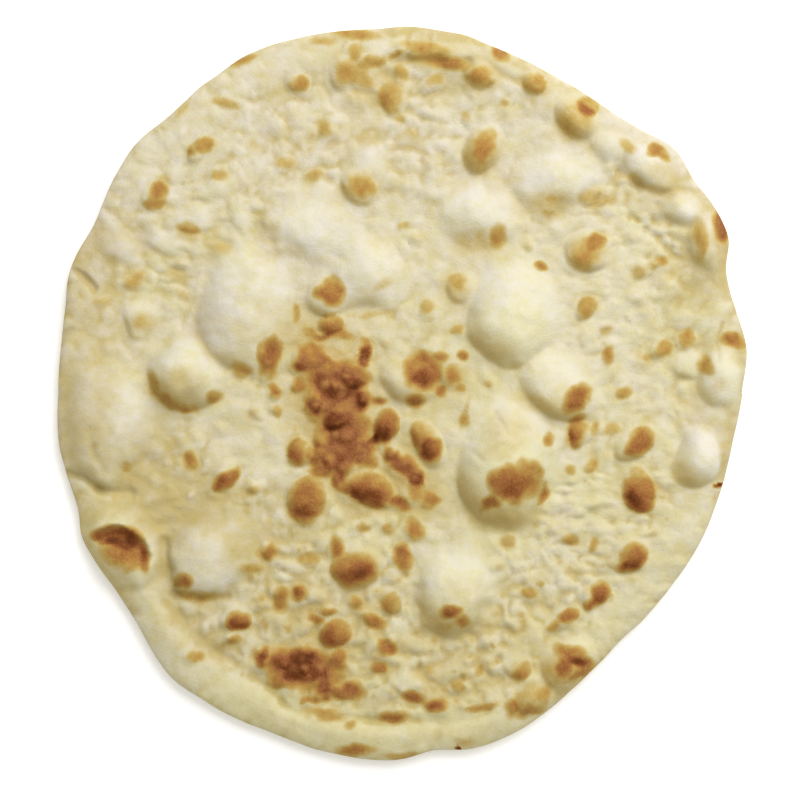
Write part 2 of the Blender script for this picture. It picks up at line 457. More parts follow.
# %% Dark cores and pale gaps
CORE_SPOTS = [
    (7.5, 6, 5.4, 6, 90, 0.98), (41, -36, 6, 4.6, -20, 0.79), (67, -102, 4.8, 1.7, -12, 1.19),
    (-27, 24.5, 3.6, 1.6, 0, 0.47), (86.5, -65, 3.8, 2, 20, 0.67), (-16, -67.5, 6, 5, 20, 0.92),
    (-36.5, -45, 5.6, 4, 0, 0.75), (-11, -38, 6, 4.4, -10, 0.98), (-6, -15, 4.2, 3, 60, 0.82),
    (-19, 3, 5, 3.6, 0, 0.92), (-25.5, -9.5, 4.4, 3.2, 10, 1.14), (-37.5, -101.5, 8, 4.8, 0, 1.05),
    (-112.6, -54, 4.8, 1.6, 4, 0.84), (-107.5, -53.5, 6, 3, 0, 0.9), (-102, -55.5, 4.2, 3, -45, 1.2),
    (-99.2, -60.2, 5, 1.7, 97, 1.02), (-105, -57.5, 6, 3, -14, 0.9), (-107.5, -60.5, 7, 6, -20, 0.5),
    (-103.5, -62, 4.6, 5.2, 0, 0.62), (64, -99.5, 6.4, 3.2, -20, 0.76),
    (-39, -105.5, 6.5, 3.6, -5, 0.89), (61, -103.5, 3.4, 5, 0, 0.74), (68, -106.5, 5, 2.2, 20, 0.78),
    (-109.5, -56.4, 4, 1.6, -4, 1.06),
]
PALE_GAPS = [(-25.5, 16, 5, 3.6, -10, 1), (-9.5, 121, 3.4, 2.2, 20, 0.9)]
print("dark cores:", len(CORE_SPOTS), "pale gaps:", len(PALE_GAPS))

# %% [markdown]
# ## From spots to browning
#
# Every list becomes one number for each point. The spots are laid over places that are moved a little
# by chance, which frays their edges: less for smooth caps, more for torn and charred skin.

# %% Browning
SPOT_MELD = 6
SPOT_EDGE_MM, SPOT_EDGE_SHARE, SPOT_CORE, SPOT_SPREAD = 0.8, 0.3, 0.75, 1.08
TAN, CRISP_MOST = 0.5, 0.45
FRAY_LENGTH, RAG_LENGTH = 5.5, 2.4
FOOT_SHARE, FOOT_LIFT = 0.4, (0.3, 1.1)
UNEVEN_HEAT = [(0.12, 6, 35), (0.1, 3, 36)]
OVEN_HEAT = 1.17


def smooth_step(value, low, high):
    """0 below low, 1 above high, and a smooth S between them."""
    return eased(np.clip((value - low) / (high - low), 0, 1))


def spots(x, y, rows, crisp=0.0):
    """How far each point is browned: the power sum of soft ellipses; crisp sharpens those past tan."""
    total = np.zeros_like(x)
    for *place, strength in rows:
        soft = 1 - crisp * min(max(strength - TAN, 0), CRISP_MOST)
        edge = soft * (SPOT_EDGE_MM / place[3] + SPOT_EDGE_SHARE)
        fade = smooth_step(1 - np.sqrt(ellipse(x, y, *place)) / SPOT_SPREAD, -edge, soft * SPOT_CORE)
        total += (strength * fade) ** SPOT_MELD
    return total ** (1 / SPOT_MELD)


def frayed(fray, rag):
    """The points of the upper side moved by chance: fray times slow ripples and rag times quick ones."""
    away = ripples(x, y, [(fray, FRAY_LENGTH, 31), (rag, RAG_LENGTH, 33)])
    up = ripples(x, y, [(fray, FRAY_LENGTH, 32), (rag, RAG_LENGTH, 34)])
    return x + away, y + up


fine_x, fine_y = frayed(fray=1, rag=0.5)
ragged_x, ragged_y = frayed(fray=1.4, rag=0.9)
blister_foot = FOOT_SHARE + (1 - FOOT_SHARE) * smooth_step(lift, *FOOT_LIFT)
browned = spots(fine_x, fine_y, BLISTER_SPOTS, crisp=1) * blister_foot
browned = np.maximum(browned, spots(fine_x, fine_y, DOME_SPOTS + BAND_SPOTS, crisp=1))
browned = np.maximum(browned, spots(fine_x, fine_y, SMALL_SPOTS + CORE_SPOTS))
browned = np.maximum(browned, spots(ragged_x, ragged_y, TORN_SPOTS + CHAR_SPOTS, crisp=1))
browned *= OVEN_HEAT * (1 + ripples(x, y, UNEVEN_HEAT)) * (1 - spots(fine_x, fine_y, PALE_GAPS))
print("share of the top browned:", round(float((browned > TAN).mean()), 3))

# %% [markdown]
# ## Sheet and rim
#
# The sheet is stretched thin and doesn't lie quite flat. At the edge the dough stays thicker and puffs
# up into a rim, high on some sides and nearly missing on others. A torus would be the same all round,
# so the rim is a bell-shaped height at a set distance from the outline, and a curve like the outline's
# says how high it stands in each direction.

# %% Sheet and rim
SHEET = 6
SHEET_WAVE, SHEET_WAVE_X, SHEET_WAVE_Y = 0.6, 23, 19
RIM = [
    (0, 2), (30, 1.6), (60, 2.2), (85, 3.2), (100, 2), (130, 0.8), (160, 1), (190, 1.6), (215, 2.6),
    (240, 3), (270, 2.7), (300, 2.2), (330, 2.2),
]
RIM_INSET, RIM_HALF_WIDTH = 9.5, 7
UNEVEN_RIM = [(0.35, 13, 41)]
wave = SHEET_WAVE * np.sin(x / SHEET_WAVE_X) * np.cos(y / SHEET_WAVE_Y)
rim_lift = around(RIM, np.degrees(turn)) * np.exp(-(((inset - RIM_INSET) / RIM_HALF_WIDTH) ** 2))
rim_lift *= 1 + ripples(x, y, UNEVEN_RIM)
print("highest rim in mm:", round(float(rim_lift.max()), 1))

# %% [markdown]
# ## Bubbles and creases
#
# Every scattered or charred spot sits on a bubble that is worked out from the same row, so shape and
# colour agree. A crease is a line where the dough folded. It could be carved with a sculpting brush, but
# a segment can be listed: x and y of both ends, width, and depth, which is below zero for a ridge.

# %% Bubbles and creases
BUBBLE_WIDTH, BUBBLE_RISE, BUBBLE_LIMIT, BUBBLE_FILLET = 1.2, 0.42, 1.5, 0.1
CREASES = [
    (-127, -31, -115, -37, 2, 2), (-115, -37, -103, -37.5, 2, 1.7), (-120, -14, -117, -21, 1.6, 0.4),
    (-117, -21, -112, -29, 1.8, 0.8), (-78, 47, -82, 27, 1, -0.7), (-28, 52, -23, 49, 0.9, 0.5),
    (33, -7, 38, -14, 1, 0.5), (26, -22, 30, -27, 1, 0.5), (-4, 127.5, 4, 128.5, 1.6, 1.2),
    (4, 128.5, 14, 126.5, 2.2, 1.5), (14, 126.5, 26, 124.5, 2.2, 1.5), (26, 124.5, 46, 118, 2, 1),
    (120.5, 26, 120.5, 11, 1, 0.7), (88, 67, 104, 50, 2, 1), (83, 83, 92, 78, 1.8, 1.2),
    (92, 78, 103, 77, 1.8, 1.2), (97, 66, 112, 65, 2, 1), (-92, -79, -70, -101, 2.6, 1),
    (-70, -101, -45, -118, 2.6, 1.2), (-45, -118, -12, -127, 2.6, 1.2),
    (-12, -127, 30, -122, 2.6, 1.2), (-126, 47, -118, 39.5, 1.3, 2), (-90, -54, -89, -75, 1.6, 1.6),
    (-89, -75.5, -65, -78, 1.6, 1.6), (64.5, -102, 71, -103, 1, 1.2), (10, 128, 10, 137, 0.9, 0.5),
    (3, 131, 3.5, 138, 0.9, 0.5), (-22, 30.5, -4, 30, 2.2, 0.9), (24, -17, 33, -11, 1, 0.5),
    (27, -12, 36, -5, 0.9, 0.4), (35, -10, 40, -18, 0.9, 0.35), (24, -24, 27, -17, 1, 0.5),
]


def bubble_rows(rows):
    """A bubble for each spot: a little wider than it, and as high as a share of its half width allows."""
    wider = [(px, py, BUBBLE_WIDTH * a, BUBBLE_WIDTH * b, turn) for px, py, a, b, turn, _ in rows]
    return [(*place, min(BUBBLE_RISE * row[3], BUBBLE_LIMIT)) for place, row in zip(wider, rows)]


def creases(x, y, rows):
    """Depth of the folds: for each segment, depth * exp(-(distance / width)^2)."""
    total = np.zeros_like(x)
    for x0, y0, x1, y1, width, depth in rows:
        length = math.hypot(x1 - x0, y1 - y0)
        along = np.clip(((x - x0) * (x1 - x0) + (y - y0) * (y1 - y0)) / length**2, 0, 1)
        away = (x - x0 - along * (x1 - x0)) ** 2 + (y - y0 - along * (y1 - y0)) ** 2
        total += depth * np.exp(-away / width**2)
    return total


bubbles = domes(stray_x, stray_y, bubble_rows(SMALL_SPOTS + CHAR_SPOTS), BUBBLE_FILLET)
blister_lift = (lift**BLISTER_MELD + bubbles) ** (1 / BLISTER_MELD)
folds = creases(stray_x, stray_y, CREASES)
print("bubbles:", len(SMALL_SPOTS + CHAR_SPOTS), "creases:", len(CREASES))

# %% [markdown]
# ## Pebbled dough
#
# Between the blisters the dough is pebbled and wrinkled, in some areas more than in others. Lumps, two
# sizes of pebbles, rolls and buns are added up. A Displace modifier could do this with a texture, but
# then the colour wouldn't know where the valleys are.

# %% Pebbled dough
LUMPY_AREAS = [
    (30, -92, 75, 42, 10, 0.9), (78, -58, 45, 40, 0, 0.65), (92, 62, 40, 45, 0, 0.4),
    (-75, 75, 45, 40, 0, 0.35), (-35, -80, 45, 35, 0, 0.7), (75, 25, 35, 40, 0, 0.35),
    (0, 100, 50, 28, 0, 0.35), (-85, -60, 40, 40, 0, 0.35),
]
LUMPY_EVERYWHERE, PEBBLED_EVERYWHERE, PEBBLED_WHERE_LUMPY = 0.15, 0.45, 0.6
LUMPS, SWAY = [(1.3, 9, 4, 8, 50)], [(0.4, 12, 53)]
PEBBLES = [(1.1, 5.5, 2.2, 4.6, 51), (0.4, 3.4, 1.3, 2.8, 52)]
BUNS, BUN_SQUEEZE = [(1.3, 5.5, 2.6, 4.4, 56)], 0.8
# A kind of roll: how far it is squeezed in x and in y, its length and its seed
WIDE_ROLLS, SMALL_ROLLS = (0.72, 1.1, 6.5, 44), (0.85, 1, 3.6, 88)
WIDE_ROLL_RISE, SMALL_ROLL_RISE, VALLEY_HALF = 1.4, 0.8, 0.3


def rolls(x, y, squeeze_x, squeeze_y, length, seed):
    """Rounded rolls with sharp valleys: the size, without its sign, of a ripple on squeezed places."""
    return abs(ripple(x * squeeze_x, y * squeeze_y, length, seed))


lumpy = LUMPY_EVERYWHERE + spots(x, y, LUMPY_AREAS)
wide_rolls, small_rolls = rolls(stray_x, stray_y, *WIDE_ROLLS), rolls(fine_x, fine_y, *SMALL_ROLLS)
buns = scatter(fine_x * BUN_SQUEEZE, fine_y, BUNS)
pebbled = PEBBLED_EVERYWHERE + PEBBLED_WHERE_LUMPY * lumpy
relief = scatter(stray_x, stray_y, LUMPS) + ripples(x, y, SWAY)
relief += pebbled * scatter(stray_x, stray_y, PEBBLES)
relief += lumpy * (WIDE_ROLL_RISE * wide_rolls + SMALL_ROLL_RISE * small_rolls + buns)
valley = lumpy * np.clip(1 - wide_rolls / VALLEY_HALF, 0, 1)
print("relief of the dough in mm, on average:", round(float(relief.mean()), 1))

# %% [markdown]
# ## Crackle and the sunken crown
#
# Charred skin is a crust of burnt little bubbles, so lumps and knobs stand on it. On the left, the top
# of one blister fell in: it is steep below its roof and runs out flat on the other side. A Boolean cut
# would leave a sharp edge, so the hollow is an elliptic depth that is taken off the height.

# %% Crackle and sunken crown
CHARRED_RANGE = (0.4, 0.7)
CHAR_LUMPS, CHAR_KNOBS = [(1, 3.6, 1.6, 3.2, 55)], [(1, 8, 3, 5.5, 59)]
CHAR_LUMP_RISE, CHAR_SINK = 1.6, 0.4
SUNKEN_CROWN = (-107.5, -60, 12, 10, -10, 6)
CROWN_STEEPNESS, CROWN_TILT, CROWN_SILL = 0.5, 0.45, 0.5
charred = smooth_step(spots(x, y, CHAR_SPOTS), *CHARRED_RANGE)
char_lumps = scatter(fine_x, fine_y, CHAR_LUMPS)
crackle = charred * (CHAR_LUMP_RISE * char_lumps + scatter(fine_x, fine_y, CHAR_KNOBS) - CHAR_SINK)
*crown_place, crown_depth = SUNKEN_CROWN
crown_x, crown_y, _, crown_width, _ = crown_place
sunken = crown_depth * np.clip(1 - ellipse(stray_x, stray_y, *crown_place), 0, None) ** CROWN_STEEPNESS
to_the_roof = stray_y - crown_y + CROWN_TILT * (stray_x - crown_x)
sunken *= smooth_step(to_the_roof, -crown_width, CROWN_SILL * crown_width)
print("crown sunken in mm:", round(float(sunken.max()), 1))

# %% [markdown]
# ## The upper side
#
# Now the heights are added up. Large domes and the rim are taut, so the pebbles fade on them, and the
# domes get a finer skin instead. At the outline everything comes down to the height of the edge.

# %% Upper side
EDGE_HEIGHT = 3.5
TAUT_LIFT, TAUT_RIM = 3, 2.5
DOME_SMOOTHING, RIM_SMOOTHING = 0.75, 0.7
DOME_SKIN = [(0.35, 6, 57), (0.2, 2.8, 58)]
dome_share = np.clip(lift / TAUT_LIFT, 0, 1)
rim_share = np.clip(rim_lift / TAUT_RIM, 0, 1)
rough = (1 - DOME_SMOOTHING * dome_share) * (1 - RIM_SMOOTHING * rim_share)
upper = SHEET + wave + rim_lift + blister_lift + rough * relief + crackle - sunken
upper += dome_share * ripples(x, y, DOME_SKIN) - folds
z = EDGE_HEIGHT + (upper - EDGE_HEIGHT) * height_share
print("highest point in mm:", round(float(z.max()), 1))

# %% [markdown]
# ## The underside
#
# The side that stuck to the oven wall is flat and dry, with shallow pits and a lifted edge. It is the
# same disc with half as many cells, and its relief only goes up, so the bread still rests at zero.

# %% Underside
UNDER_CELLS = UPPER_CELLS // 2
UNDER_ROUND = 14
PITS, PIT_DEPTH = [(1, 9, 3, 6, 61), (0.5, 4.5, 1.5, 3, 62)], 0.7
UNDER_SWELLS = [(0.8, 24, 63)]
under_share, under_turn = disc(UNDER_CELLS)
under_radius = outline_radius(under_turn)
under_share *= 1 - UNDER_ROUND / 2 / under_radius
under_inset, under_height = rounded_edge(under_share, under_radius, UNDER_ROUND)
under_x = (under_radius - under_inset) * np.cos(under_turn)
under_y = (under_radius - under_inset) * np.sin(under_turn)
pits = scatter(under_x, under_y, PITS)
swell = np.clip(ripples(under_x, under_y, UNDER_SWELLS), 0, None)
under_z = EDGE_HEIGHT * (1 - under_height) + (PIT_DEPTH * pits + swell) * under_height
print("underside from", round(float(under_z.min()), 2), "to", round(float(under_z.max()), 2), "mm")

# %% [markdown]
# ## Faces
#
# The two discs share no points: the upper one has two steps along the outline for each step of the
# lower one, so a strip of three triangles a step closes the edge. Bridging two edge loops in Blender
# would do the same by hand. Here faces are index arrays, made whole.

# %% Faces


def grid_faces(cells):
    """Four corners of each cell, anticlockwise, starting so that its diagonal runs toward the middle."""
    row, column = np.mgrid[0:cells, 0:cells].reshape(2, -1)
    corner = row * (cells + 1) + column
    around_cell = np.stack([corner, corner + 1, corner + cells + 2, corner + cells + 1], axis=1)
    other_way = (row < cells / 2) != (column < cells / 2)
    return np.where(other_way[:, None], np.roll(around_cell, -1, axis=1), around_cell)


def grid_rim(cells):
    """The outermost points of a square grid, anticlockwise from its first corner."""
    index = np.arange((cells + 1) ** 2).reshape(cells + 1, cells + 1)
    return np.concatenate([index[0, :-1], index[:-1, -1], index[-1, :0:-1], index[:0:-1, 0]])


def strip_faces(upper_rim, lower_rim):
    """Three triangles for each step of the lower rim and two steps of the upper one."""
    t0, t1, t2 = upper_rim[0::2], upper_rim[1::2], np.roll(upper_rim, -2)[0::2]
    b0, b1 = lower_rim, np.roll(lower_rim, -1)
    return np.concatenate([np.stack(side, axis=1) for side in ((b0, b1, t1), (b0, t1, t0), (b1, t2, t1))])


upper_faces = grid_faces(UPPER_CELLS)
under_faces = grid_faces(UNDER_CELLS)[:, [0, 3, 2, 1]] + x.size
strip = strip_faces(grid_rim(UPPER_CELLS), grid_rim(UNDER_CELLS) + x.size)
faces = upper_faces.tolist() + under_faces.tolist() + strip.tolist()
print("triangles:", sum(len(face) - 2 for face in faces))

# %% [markdown]
# ## One closed mesh
#
# The bread is one piece, so both sides and the strip go into one mesh. Its points carry their place, and
# the object stays at the origin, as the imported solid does.

# %% Mesh
upper_points = np.stack([x, y, z], axis=-1).reshape(-1, 3)
under_points = np.stack([under_x, under_y, under_z], axis=-1).reshape(-1, 3)
points = np.concatenate([upper_points, under_points])
points[:, :2] -= (points[:, :2].min(axis=0) + points[:, :2].max(axis=0)) / 2
mesh = bpy.data.meshes.new("flatbread_crust")
mesh.from_pydata((points * MM).tolist(), [], faces)
mesh.shade_smooth()
bread = bpy.data.objects.new("flatbread_crust", mesh)
bpy.context.scene.collection.objects.link(bread)
print("mesh problems:", mesh.validate(verbose=False))

# %% [markdown]
# ## Areas of the dough
#
# Dough that stays pale isn't one cream. It is olive where it is damp or shaded, floury where it dried,
# buttery in some parts, milky in others and golden near the heat. Vertex paint could hold this, but its
# strokes can't be read. Each area is a wide, soft ellipse in the same rows as the spots, and its last
# number says how strong it is. Golden tints are the smaller ones, round what browned.

# %% Olive and floury areas
OLIVE_AREAS = [
    (-100, -44, 36, 32, 75, 0.75), (-114, -62, 22, 20, 60, 0.6), (-119, 10, 44, 15, 95, 0.6),
    (-82, -84, 26, 12, -48, 0.4), (22, 130, 32, 10, -15, 0.6), (112, 66, 28, 14, 105, 0.2),
    (66, -108, 16, 10, 25, 0.7), (-58, -52, 36, 20, 0, 0.45), (5, -35, 22, 22, 0, 0.35),
    (-116, 48, 26, 14, 70, 0.7), (-80, -42, 20, 12, -20, 1.2), (-51, 62, 11, 4.5, -66, 0.7),
    (-36, 39, 8, 4, 80, 0.6), (100, 84, 10, 8, 0, 1), (-60, -58, 14, 12, 0, 0.85),
    (-118, -18, 14, 10, 90, 0.95), (118, 52, 22, 12, 90, 1), (106, 40, 12, 10, 0, 0.4),
    (17, -86, 14, 8, -10, 0.9), (-20, -100, 14, 10, 0, 0.4), (-110, -66, 10, 7, -35, 0.8),
    (40, -46, 16, 7, 0, 1.2), (-7, -1, 6, 4, 60, 0.5), (60, -2, 14, 8, -28, 0.4),
    (-60, 16, 16, 10, 95, 0.45), (-82, 2, 12, 9, -25, 1.1), (16, 126.5, 13, 4, -12, 0.7),
    (-74, -64, 15, 13, 10, 0.4), (-71, 30, 14, 7, 85, 0.45), (104, 78, 14, 12, -30, 0.6),
    (121, 62, 11, 6, 95, 0.7), (20, -78, 13, 10, 0, 0.6), (-62, 22, 12, 9, 0, 0.3),
    (124, -18, 5, 12, 0, 0.5), (122, 18, 10, 8, 90, 0.5), (3, -111, 8, 7, 0, 0.4),
    (-58, 34, 16, 24, 0, 0.3), (-99, 27, 5, 4.4, 0, 1), (-69.5, 55, 4, 3, 0, 0.9),
    (-114, 34.5, 4, 3, 0, 0.8), (-87, 44.5, 4, 3, 0, 0.7), (-110.5, 50.5, 3.6, 3.6, 0, 0.9),
    (-126, -8, 5, 16, 0, 0.8), (-14.5, 96, 4, 3.5, 0, 0.6), (2, 95, 4, 4, 0, 0.6),
    (29, -112, 5, 4, 0, 0.5),
]
FLOURY_AREAS = [
    (-60, -117, 36, 8, -30, 0.8), (10, -131, 52, 8, 4, 0.8), (98, -66, 34, 12, 55, 0.95),
    (64, -44, 16, 20, 0, 0.7), (82, 36, 16, 22, 0, 1), (84, 4, 14, 14, 0, 0.5),
    (0, -58, 26, 8, 0, 0.7), (-62, -10, 18, 18, 0, 0.85), (-98, -98, 16, 6, -45, 1.2),
    (2, 60, 18, 14, 0, 0.5), (20, 42, 14, 8, 0, 0.6), (-20, 108, 16, 9, 0, 0.4),
    (42, 100, 26, 10, 0, 0.5), (60, 18, 10, 8, 0, 0.5), (20, -18, 9, 14, 0, 0.6),
    (-85, 90, 26, 16, 40, 0.4), (40, -60, 30, 10, 0, 0.4), (70, -92, 26, 8, 45, 0.4),
    (-30, 42, 20, 10, -40, 0.7), (103, -22, 6, 14, 0, 0.8), (-4, 8, 9, 5, 80, 0.9),
    (98, 98, 30, 9, -42, 0.9), (118, 76, 18, 8, -62, 0.2), (60, 121, 20, 6, -28, 0.5),
    (-118, 78, 20, 8, 60, 0.6), (0, -80, 14, 12, 0, 0.6), (60, 40, 12, 12, 0, 0.6),
    (118, -58, 10, 16, -25, 1), (58, 58, 14, 10, 0, 0.4), (-60, -20, 14, 12, 0, 1.2),
    (98, -80, 12, 14, 40, 0.9), (22, 20, 9, 9, 0, 0.6), (20, -42, 8, 10, 0, 0.5),
    (-100, 80, 14, 12, 45, 0.5), (-42, 0, 8, 12, 0, 0.6), (96, -86, 10, 10, 45, 0.5),
]
print("olive areas:", len(OLIVE_AREAS), "floury areas:", len(FLOURY_AREAS))

# %% Buttery, milky and golden areas
BUTTERY_AREAS = [
    (-20, -126, 95, 18, -4, 1.3), (-112, -62, 34, 24, 60, 0.8), (-10, -102, 40, 20, 0, 0.6),
    (38, -36, 22, 26, 0, 1.5), (-8, -40, 30, 20, 0, 0.9), (84, -36, 30, 34, 0, 0.5),
    (22, 4, 26, 22, 0, 0.6), (42, 20, 16, 14, 0, 1), (104, 22, 20, 34, 0, 0.4),
    (20, -82, 20, 14, 0, 0.6), (50, -100, 60, 20, 30, 0.7), (-40, 12, 20, 16, 0, 0.5),
    (100, -70, 14, 22, -20, 0.4), (-80, 2, 14, 12, 0, 0.6), (-98, 42, 14, 12, 0, 0.5),
    (-58, 34, 18, 26, 0, 0.2),
]
MILKY_AREAS = [
    (0, 100, 120, 34, 0, 0.45), (90, 104, 34, 14, -40, 1.3), (118, 82, 20, 12, -60, 0.9),
    (-38, 46, 22, 14, -40, 0.7), (-92, 84, 34, 26, 45, 0.2), (-20, 62, 16, 12, 0, 0.4),
    (-112, 60, 44, 18, 60, 0.6), (-70, 30, 16, 9, 85, 0.9), (114, -19, 8, 12, 0, 0.9),
]
GOLDEN_AREAS = [
    (22, -100, 52, 26, 5, 0.13), (-98, -44, 34, 30, 75, 0.05), (-116, -62, 18, 16, 60, 0.12),
    (-124, -8, 28, 10, 90, 0.08), (-82, -90, 26, 12, -48, 0.1), (72, -62, 42, 32, 60, 0.03),
    (-118, 20, 30, 14, 90, 0.05), (92, 8, 34, 26, 0, 0.06), (-5, 118, 30, 14, 0, 0.05),
    (-20, -78, 45, 26, 0, 0.15), (-22, 0, 30, 42, 0, 0.08), (114, 62, 24, 12, 105, 0.02),
]
GOLDEN_TINTS = [
    (55, 71, 12, 6, 5, 0.2), (29, 57, 12, 5, 5, 0.2), (31, 18, 10, 7, -50, 0.1),
    (20, 40, 8, 7, 0, 0.2), (74, 74, 7, 5, 0, 0.24), (30, 91, 9, 8, 75, 0.3),
    (-15, 79, 7, 7, 0, 0.28), (90, 92, 10, 5, -25, 0.04), (13, 126, 14, 4, -8, 0.24),
    (29, 119, 9, 7, 0, 0.22), (51, 118, 8, 7, 0, 0.22), (-12, 116, 16, 12, 0, 0.18),
    (-99.5, 27, 6, 4.5, 0, 0.14), (-37, -101, 19, 12, -5, 0.24), (65, 103, 9, 8, 40, 0.3),
    (-27, 0, 36, 24, 90, 0.24), (-86, 2, 11, 6, -35, 0.14), (11, -86, 10, 7, -45, 0.16),
    (52, -4, 13, 4, -15, 0.16), (105.5, -29, 8, 5, -60, 0.14), (25, -38, 14, 6, -60, 0.12),
    (39, -14, 12, 9, 10, 0.15), (38, -21, 9, 5, 10, 0.18), (-125, -18, 14, 5, 80, 0.14),
    (63, -105, 11, 8, 5, 0.38), (-12, 30, 9, 1.6, 5, 0.25), (2, -34, 22, 12, -40, 0.22),
    (-38, 22, 14, 9, 0, 0.2), (-14, -38, 16, 11, -10, 0.26), (10, 4, 16, 13, 0, 0.2),
    (40, -47, 15, 6, 0, 0.16),
]
print("golden areas:", len(GOLDEN_AREAS), "golden tints:", len(GOLDEN_TINTS))

# %% [markdown]
# ## Hollow, taut and warm
#
# Three numbers tell what kind of dough a point is. Hollow is above zero in valleys, in olive areas and
# on the flanks away from the light, and below zero where flour shows. Taut is 1 on the skin of pale
# domes. Warm runs from milky to buttery. A valley is found by a blur: it lies lower than the mean of
# what is around it.

# %% Hollow, taut and warm
FLANK_RANGE, NEAR_DOME_RANGE = (0.3, 2.4), (0.2, 0.8)
WIDE_BLUR, NARROW_BLUR = 20, 3
WIDE_HOLLOW, NARROW_HOLLOW = 1.1, 0.5
DOME_CLEARS_HOLLOW, FLANK_HOLLOW = 0.6, 0.9
UNEVEN_WARMTH = [(0.3, 8, 75)]


def blurred(heights, passes):
    """A grid of heights with each value the mean of its neighbours, again and again."""
    for _ in range(passes):
        padded = np.pad(heights, 1, mode="edge")
        heights = (padded[:-2, 1:-1] + padded[2:, 1:-1] + padded[1:-1, :-2] + padded[1:-1, 2:]) / 4
    return heights


flank = smooth_step(flank_slope, *FLANK_RANGE)
near_dome = smooth_step(blurred(lift, WIDE_BLUR), *NEAR_DOME_RANGE)
wide_dip = (blurred(upper, WIDE_BLUR) - upper) * (1 - DOME_CLEARS_HOLLOW * near_dome)
narrow_dip = np.clip(blurred(upper, NARROW_BLUR) - upper, 0, None) * (1 - near_dome)
floury = spots(x, y, FLOURY_AREAS)
hollow = wide_dip / WIDE_HOLLOW + narrow_dip / NARROW_HOLLOW + spots(x, y, OLIVE_AREAS) - floury
hollow = np.maximum(np.clip(hollow, -1, 1), FLANK_HOLLOW * flank)
taut = np.clip(pale_lift / TAUT_LIFT, 0, 1) * (1 - flank)
warmth = spots(x, y, BUTTERY_AREAS) - spots(x, y, MILKY_AREAS) + ripples(x, y, UNEVEN_WARMTH)
print("mean hollow, taut and warm:", [round(float(kind.mean()), 2) for kind in (hollow, taut, warmth)])

# %% [markdown]
# ## Toast
#
# The browning is finished here. Charred skin is darker in the seams between its lumps, and every spot
# is darker on the flank away from the light. Beside the spots, the whole bread has a golden blush: in
# areas, in the valleys and on the tops of tiny pebbles, but not where flour lies or the skin is taut.

# %% Toast
SEAM_DARKNESS, SEAM_LEVEL = 0.45, 0.35
FLANK_TOAST, FLANK_TINT = 0.22, 0.1
BLUSH, TINY_PEBBLES = [(0.08, 9, 71), (0.07, 4.5, 72)], [(1, 6.5, 1.3, 2.6, 73)]
FLOUR_PALES, VALLEY_BLUSH, PEBBLE_BLUSH, LUMPY_BLUSH = 0.12, 0.08, 0.1, 0.2
blush = ripples(x, y, BLUSH) + spots(x, y, GOLDEN_AREAS) - FLOUR_PALES * floury + VALLEY_BLUSH * valley
blush += (PEBBLE_BLUSH + LUMPY_BLUSH * lumpy) * scatter(fine_x, fine_y, TINY_PEBBLES)
tint = np.maximum(spots(fine_x, fine_y, GOLDEN_TINTS), np.clip(blush, 0, None) * (1 - taut))
toast = browned * (1 + SEAM_DARKNESS * (SEAM_LEVEL - char_lumps) * charred)
toast *= 1 + FLANK_TOAST * np.clip(flank_slope, -1, 1)
toast = np.maximum(toast, tint) + FLANK_TINT * flank
print("most toasted:", round(float(toast.max()), 2))

# %% [markdown]
# ## What the crust remembers
#
# The underside browns in wide clouds and a few spots, and its pits stay pale. Then all the numbers are
# stored on the points as attributes, where a material can read them: toast, taut, hollow, warmth, and
# scorch, which covers the char and a soft border round it. They stay with the surface when the camera
# moves and when the model is exported.

# %% Stored numbers
UNDER_TOAST, PIT_PALES = 0.3, 0.3
UNDER_CLOUDS = [(0.3, 30, 81), (0.25, 9, 82)]
UNDER_SPOTS, UNDER_PATCHES = [(0.5, 11, 2, 5, 83)], [(1, 8, 84)]
SCORCH_BLUR, SCORCH_REACH = 12, 1.5
in_patches = ripples(under_x, under_y, UNDER_PATCHES) > 0
under_toast = UNDER_TOAST + ripples(under_x, under_y, UNDER_CLOUDS)
under_toast += scatter(under_x, under_y, UNDER_SPOTS) * in_patches
under_toast = np.clip(under_toast, 0, None) * under_height - PIT_PALES * pits
scorch = np.clip(SCORCH_REACH * blurred(charred, SCORCH_BLUR), 0, 1)
none_below = np.zeros_like(under_x)
crust_numbers = {
    "toast": (toast, under_toast),
    "taut": (taut, none_below),
    "hollow": (hollow, np.clip(pits, 0, 1)),
    "warmth": (warmth, none_below),
    "scorch": (scorch, none_below),
}
for name, (above, below) in crust_numbers.items():
    values = np.concatenate([above.ravel(), below.ravel()]).astype(np.float32)
    mesh.attributes.new(name, "FLOAT", "POINT").data.foreach_set("value", values)
print("stored numbers:", list(crust_numbers))

# %% [markdown]
# ## Shader maths as Python
#
# A material is a graph of nodes. Wiring each sum by hand hides what is worked out, so one small class
# wraps a socket: Python's operators add Math nodes, and one method adds any other node.

# %% Wire class
# Sockets of a Mix node that carry colours
MIX_FIRST, MIX_SECOND, MIX_RESULT = 6, 7, 2


